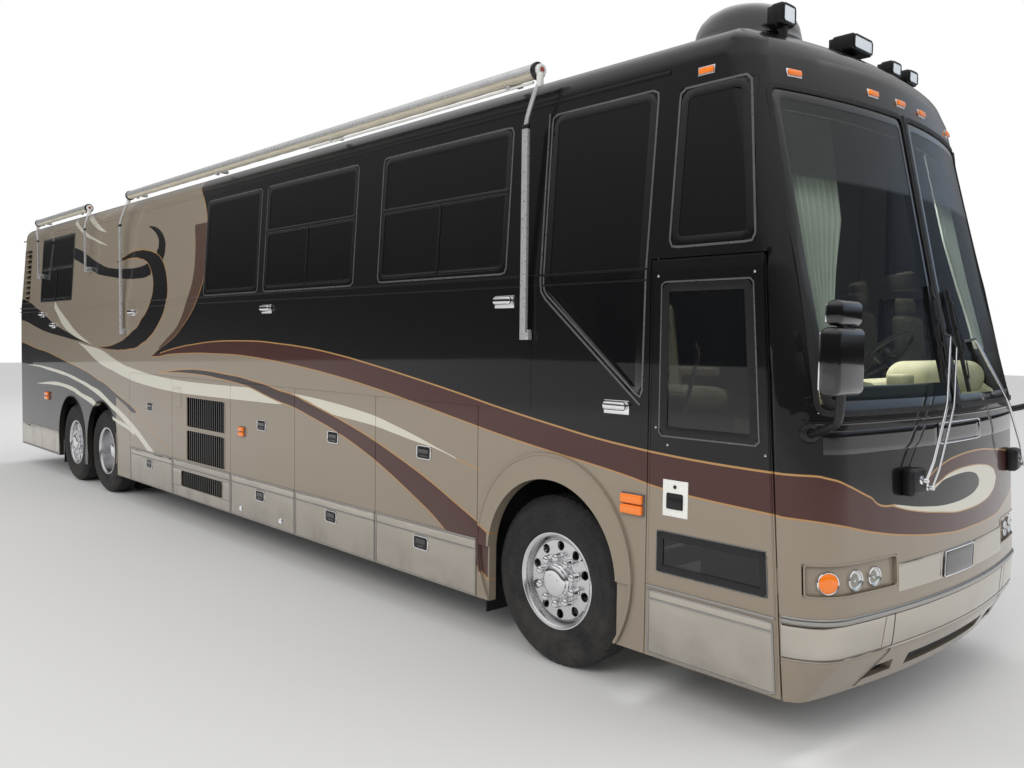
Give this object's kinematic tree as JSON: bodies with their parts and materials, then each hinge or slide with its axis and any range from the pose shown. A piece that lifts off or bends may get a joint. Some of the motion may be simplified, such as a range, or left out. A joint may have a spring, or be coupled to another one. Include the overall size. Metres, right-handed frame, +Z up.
{
  "type": "motorhome on a three-axle motor coach",
  "caption": "Full-size highway coach motorhome with spinning and steering wheels, an opening entry door, top-hinged baggage doors and an engine door.",
  "frame": {"origin": "on the ground under the centre of the vehicle's box", "axes": "+X forward, +Y to the driver's side (left), +Z up"},
  "size_m": [13.865, 3.26, 3.886],
  "materials": {
    "body_paint": "gloss",
    "roof_paint": "gloss",
    "door_paint": "gloss",
    "bumper": "gloss",
    "window_glass": "tinted",
    "screen_glass": "clear",
    "tyre": "matt",
    "polished_aluminium": "polished",
    "chassis_steel": "satin",
    "floor": "satin",
    "trim_plastic": "matt",
    "dash_plastic": "matt",
    "lens": "gloss",
    "tail_lens": "gloss",
    "lamp": "polished",
    "leather": "soft",
    "awning_shell": "satin",
    "rubber": "matt"
  },
  "bodies": {
    "coach": {"wall_right": "body_paint", "wall_left": "body_paint", "roof": "roof_paint", "front_mask": "body_paint", "head_lamps": "lamp", "front_bumper": "bumper", "windscreen": "screen_glass", "side_glass": "window_glass", "rear_cap": "body_paint", "rear_bumper": "bumper", "fenders_front": "door_paint", "fenders_rear": "door_paint", "deck": "floor", "bay_frame": "chassis_steel", "chassis_rails": "chassis_steel", "entry_steps": "floor", "axles": "chassis_steel", "engine": "chassis_steel", "mud_flaps": "rubber", "dash": "dash_plastic", "steering_wheel": "trim_plastic", "seat_frames": "chassis_steel", "seat_cushions": "leather", "partition": "dash_plastic", "mirrors": "trim_plastic", "wipers": "lamp", "awnings": "awning_shell", "awning_arms": "awning_shell", "roof_dome": "trim_plastic", "roof_lamps": "trim_plastic", "marker_lamps": "lens", "tail_lamps": "tail_lens"},
    "entry_door": {"entry_door": "door_paint", "entry_door_glass": "window_glass"},
    "engine_door": {"engine_door": "door_paint"},
    "tie_rod": {"tie_rod": "chassis_steel"},
    "knuckle_right": {"knuckle_right": "chassis_steel"},
    "wheel_front_right": {"tyre_front_right": "tyre", "rim_front_right": "polished_aluminium"},
    "wheel_drive_right": {"tyre_drive_right": "tyre", "rim_drive_right": "polished_aluminium"},
    "wheel_tag_right": {"tyre_tag_right": "tyre", "rim_tag_right": "polished_aluminium"},
    "bay_door_right_1": {"bay_door_right_1": "door_paint"},
    "bay_door_right_2": {"bay_door_right_2": "door_paint"},
    "bay_door_right_3": {"bay_door_right_3": "door_paint"},
    "bay_door_right_4": {"bay_door_right_4": "door_paint"},
    "bay_door_right_5": {"bay_door_right_5": "door_paint"},
    "knuckle_left": {"knuckle_left": "chassis_steel"},
    "wheel_front_left": {"tyre_front_left": "tyre", "rim_front_left": "polished_aluminium"},
    "wheel_drive_left": {"tyre_drive_left": "tyre", "rim_drive_left": "polished_aluminium"},
    "wheel_tag_left": {"tyre_tag_left": "tyre", "rim_tag_left": "polished_aluminium"},
    "bay_door_left_1": {"bay_door_left_1": "door_paint"},
    "bay_door_left_2": {"bay_door_left_2": "door_paint"},
    "bay_door_left_3": {"bay_door_left_3": "door_paint"},
    "bay_door_left_4": {"bay_door_left_4": "door_paint"},
    "bay_door_left_5": {"bay_door_left_5": "door_paint"}
  },
  "joints": [
    {"name": "entry_door_hinge", "type": "hinge", "parent": "coach", "child": "entry_door", "pos_m": [6.479, -1.29057, 0.29], "axis": [-0.0684, 0.0028, 0.9977], "range_deg": [0, 90]},
    {"name": "engine_door_hinge", "type": "hinge", "parent": "coach", "child": "engine_door", "pos_m": [-6.94185, 0, 1.694], "axis": [0, 1, 0], "range_deg": [0, 85]},
    {"name": "bay_door_right_1_hinge", "type": "hinge", "parent": "coach", "child": "bay_door_right_1", "pos_m": [-2.135, -1.292, 1.56], "axis": [-1, 0, 0], "range_deg": [0, 90]},
    {"name": "bay_door_right_2_hinge", "type": "hinge", "parent": "coach", "child": "bay_door_right_2", "pos_m": [-0.869, -1.292, 1.56], "axis": [-1, 0, 0], "range_deg": [0, 90]},
    {"name": "bay_door_right_3_hinge", "type": "hinge", "parent": "coach", "child": "bay_door_right_3", "pos_m": [0.548, -1.292, 1.56], "axis": [-1, 0, 0], "range_deg": [0, 90]},
    {"name": "bay_door_right_4_hinge", "type": "hinge", "parent": "coach", "child": "bay_door_right_4", "pos_m": [1.796, -1.292, 1.56], "axis": [-1, 0, 0], "range_deg": [0, 90]},
    {"name": "bay_door_right_5_hinge", "type": "hinge", "parent": "coach", "child": "bay_door_right_5", "pos_m": [3.03, -1.292, 1.56], "axis": [-1, 0, 0], "range_deg": [0, 90]},
    {"name": "bay_door_left_1_hinge", "type": "hinge", "parent": "coach", "child": "bay_door_left_1", "pos_m": [-2.135, 1.292, 1.56], "axis": [1, 0, 0], "range_deg": [0, 90]},
    {"name": "bay_door_left_2_hinge", "type": "hinge", "parent": "coach", "child": "bay_door_left_2", "pos_m": [-0.869, 1.292, 1.56], "axis": [1, 0, 0], "range_deg": [0, 90]},
    {"name": "bay_door_left_3_hinge", "type": "hinge", "parent": "coach", "child": "bay_door_left_3", "pos_m": [0.548, 1.292, 1.56], "axis": [1, 0, 0], "range_deg": [0, 90]},
    {"name": "bay_door_left_4_hinge", "type": "hinge", "parent": "coach", "child": "bay_door_left_4", "pos_m": [1.796, 1.292, 1.56], "axis": [1, 0, 0], "range_deg": [0, 90]},
    {"name": "bay_door_left_5_hinge", "type": "hinge", "parent": "coach", "child": "bay_door_left_5", "pos_m": [3.03, 1.292, 1.56], "axis": [1, 0, 0], "range_deg": [0, 90]},
    {"name": "steer_right", "type": "hinge", "parent": "coach", "child": "knuckle_right", "pos_m": [4.9, -0.9, 0.526], "axis": [0, 0, 1], "range_deg": [-38, 38]},
    {"name": "steer_left", "type": "hinge", "parent": "coach", "child": "knuckle_left", "pos_m": [4.9, 0.9, 0.526], "axis": [0, 0, 1], "range_deg": [-38, 38]},
    {"name": "tie_rod_pivot", "type": "hinge", "parent": "knuckle_right", "child": "tie_rod", "pos_m": [4.68, -0.9, 0.356], "axis": [0, 0, 1], "range_deg": [-38, 38]},
    {"name": "roll_front_right", "type": "hinge", "parent": "knuckle_right", "child": "wheel_front_right", "pos_m": [4.9, -1.1075, 0.526], "axis": [0, 1, 0], "continuous": true},
    {"name": "roll_front_left", "type": "hinge", "parent": "knuckle_left", "child": "wheel_front_left", "pos_m": [4.9, 1.1075, 0.526], "axis": [0, 1, 0], "continuous": true},
    {"name": "roll_drive_right", "type": "hinge", "parent": "coach", "child": "wheel_drive_right", "pos_m": [-3.13, -1.1075, 0.526], "axis": [0, 1, 0], "continuous": true},
    {"name": "roll_drive_left", "type": "hinge", "parent": "coach", "child": "wheel_drive_left", "pos_m": [-3.13, 1.1075, 0.526], "axis": [0, 1, 0], "continuous": true},
    {"name": "roll_tag_right", "type": "hinge", "parent": "coach", "child": "wheel_tag_right", "pos_m": [-4.35, -1.1075, 0.526], "axis": [0, 1, 0], "continuous": true},
    {"name": "roll_tag_left", "type": "hinge", "parent": "coach", "child": "wheel_tag_left", "pos_m": [-4.35, 1.1075, 0.526], "axis": [0, 1, 0], "continuous": true}
  ],
  "couplings": [
    {"joint": "steer_left", "follows": "steer_right", "ratio": 1},
    {"joint": "tie_rod_pivot", "follows": "steer_right", "ratio": -1}
  ]
}
